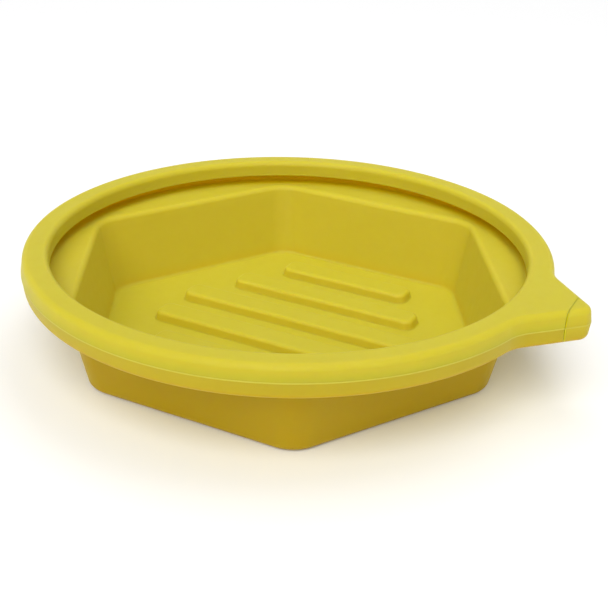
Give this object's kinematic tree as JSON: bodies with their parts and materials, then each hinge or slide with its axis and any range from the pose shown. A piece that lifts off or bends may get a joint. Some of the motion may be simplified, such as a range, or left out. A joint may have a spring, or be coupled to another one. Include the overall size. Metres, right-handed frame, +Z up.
{
  "type": "oil drain pan",
  "caption": "Shallow round pan with a six-sided ribbed sump, a hollow rolled rim with a hanging splash lip, and a closed pouring spout.",
  "frame": {"origin": "centre of the sump's flat underside, on the pan's round axis", "axes": "+Z up through the mouth, +X out through the spout, mirror plane XZ"},
  "size_m": [0.8028, 0.741, 0.157],
  "materials": {
    "yellow_polyethylene": "satin rotationally moulded polyethylene, mustard yellow",
    "seam_polyethylene": "trimmed polyethylene bead, slightly paler"
  },
  "bodies": {
    "root": {"sump": "yellow_polyethylene", "rim_trough": "yellow_polyethylene", "rim_cover": "yellow_polyethylene", "splash_lip": "yellow_polyethylene", "seam_bead": "seam_polyethylene", "spout_tip": "yellow_polyethylene"}
  },
  "joints": []
}
